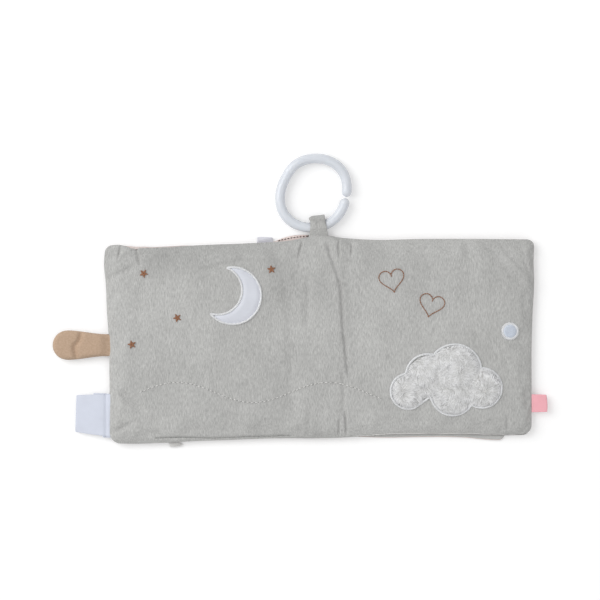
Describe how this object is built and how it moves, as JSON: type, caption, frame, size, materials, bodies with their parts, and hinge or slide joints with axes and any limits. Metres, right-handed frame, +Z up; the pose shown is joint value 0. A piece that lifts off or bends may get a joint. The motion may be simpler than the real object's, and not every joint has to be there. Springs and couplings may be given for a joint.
{
  "type": "crinkle cloth book",
  "caption": "Soft baby book of velour covers over a spine, with inner leaves, crinkle film inside, a link ring on a ribbon loop and a closing strap.",
  "frame": {"origin": "middle of the object's box in plan, on the surface that the open book lies on", "axes": "+X across the open book from the back cover to the front cover; +Y up the covers towards the link ring; +Z up, out of the outer faces"},
  "size_m": [0.395, 0.2342, 0.0154],
  "materials": {
    "batting": "white polyester batting",
    "film": "clear crackling film, sealed inside",
    "hook": "hook-and-loop tape",
    "label": "pale satin ribbon",
    "lining": "pale pink brushed cotton",
    "page": "pale grey brushed cotton",
    "pale_thread": "light grey embroidery thread",
    "pink": "pink ribbon",
    "plastic": "smooth white, slightly lavender, glossy",
    "plush": "white plush",
    "ribbon": "white and lavender ribbon",
    "satin": "white satin",
    "tan": "tan plush",
    "thread": "brown embroidery thread",
    "velour": "short-pile grey velour"
  },
  "bodies": {
    "spine": {"spine_outer": "velour", "spine_lining": "lining", "spine_batting": "batting", "leaf_binding": "page", "spine_running_stitches": "pale_thread"},
    "front_leaf": {"front_leaf_upper_face": "page", "front_leaf_lower_face": "page", "front_leaf_crinkle_film": "film"},
    "front_cover": {"front_cover_outer": "velour", "front_cover_lining": "lining", "front_crinkle_film": "film", "front_batting": "batting", "cloud_plush": "plush", "cloud_edge_stitch": "satin", "thread_heart_1": "thread", "thread_heart_2": "thread", "closure_dot": "hook", "closure_dot_stitching": "satin", "front_running_stitches": "pale_thread"},
    "side_tab": {"side_tab": "pink"},
    "back_leaf": {"back_leaf_upper_face": "page", "back_leaf_lower_face": "page", "back_leaf_crinkle_film": "film", "leaf_fur_trim": "plush"},
    "leaf_tab": {"leaf_ribbon_tab": "ribbon"},
    "back_cover": {"back_cover_outer": "velour", "back_cover_lining": "lining", "back_crinkle_film": "film", "back_batting": "batting", "moon_patch": "satin", "moon_edge_stitch": "satin", "star_1": "thread", "star_2": "thread", "star_3": "thread", "star_4": "thread", "back_running_stitches": "pale_thread", "closing_seam_stitches": "pale_thread"},
    "care_label": {"care_label": "label", "care_label_under_ply": "label"},
    "strap_base": {"strap_base_backing": "tan", "strap_base_plush": "tan"},
    "strap_end": {"strap_end_backing": "tan", "strap_end_plush": "tan", "strap_loop_patch": "hook"},
    "ring_loop": {"ring_loop": "velour"},
    "link_ring": {"link_ring": "plastic"}
  },
  "joints": [
    {"name": "front_leaf_fold", "type": "hinge", "parent": "spine", "child": "front_leaf", "pos_m": [0.03334, -0.03049, 0.00515], "axis": [0, 1, 0], "range_deg": [0, 95]},
    {"name": "front_cover_lift", "type": "hinge", "parent": "front_leaf", "child": "front_cover", "pos_m": [0.03334, -0.03049, 0.00515], "axis": [0, -1, 0], "range_deg": [0, 90]},
    {"name": "side_tab_flop", "type": "hinge", "parent": "front_cover", "child": "side_tab", "pos_m": [0.18646, -0.08329, 0.00515], "axis": [0, 1, 0], "range_deg": [-90, 90]},
    {"name": "back_leaf_fold", "type": "hinge", "parent": "spine", "child": "back_leaf", "pos_m": [-0.00066, -0.03049, 0.00515], "axis": [0, -1, 0], "range_deg": [0, 95]},
    {"name": "leaf_tab_flop", "type": "hinge", "parent": "back_leaf", "child": "leaf_tab", "pos_m": [-0.02806, 0.04536, 0.0014], "axis": [1, 0, 0], "range_deg": [-60, 60]},
    {"name": "back_cover_lift", "type": "hinge", "parent": "back_leaf", "child": "back_cover", "pos_m": [-0.00066, -0.03049, 0.00515], "axis": [0, 1, 0], "range_deg": [0, 90]},
    {"name": "care_label_flop", "type": "hinge", "parent": "back_cover", "child": "care_label", "pos_m": [-0.15247, -0.09269, 0.00515], "axis": [-0.0356, 0.9994, 0], "range_deg": [-90, 90]},
    {"name": "strap_base_fold", "type": "hinge", "parent": "back_cover", "child": "strap_base", "pos_m": [-0.15466, -0.03689, 0.00515], "axis": [0, -1, 0], "range_deg": [0, 90]},
    {"name": "strap_end_fold", "type": "hinge", "parent": "strap_base", "child": "strap_end", "pos_m": [-0.16866, -0.03689, 0.00515], "axis": [0, -1, 0], "range_deg": [0, 90]},
    {"name": "ring_loop_flop", "type": "hinge", "parent": "spine", "child": "ring_loop", "pos_m": [0.01334, 0.05191, 0.00515], "axis": [1, 0, 0], "range_deg": [-45, 45]},
    {"name": "link_ring_turn", "type": "hinge", "parent": "ring_loop", "child": "link_ring", "pos_m": [0.01074, 0.08566, 0.00515], "axis": [0, 0, 1], "range_deg": [-55, 245]}
  ]
}
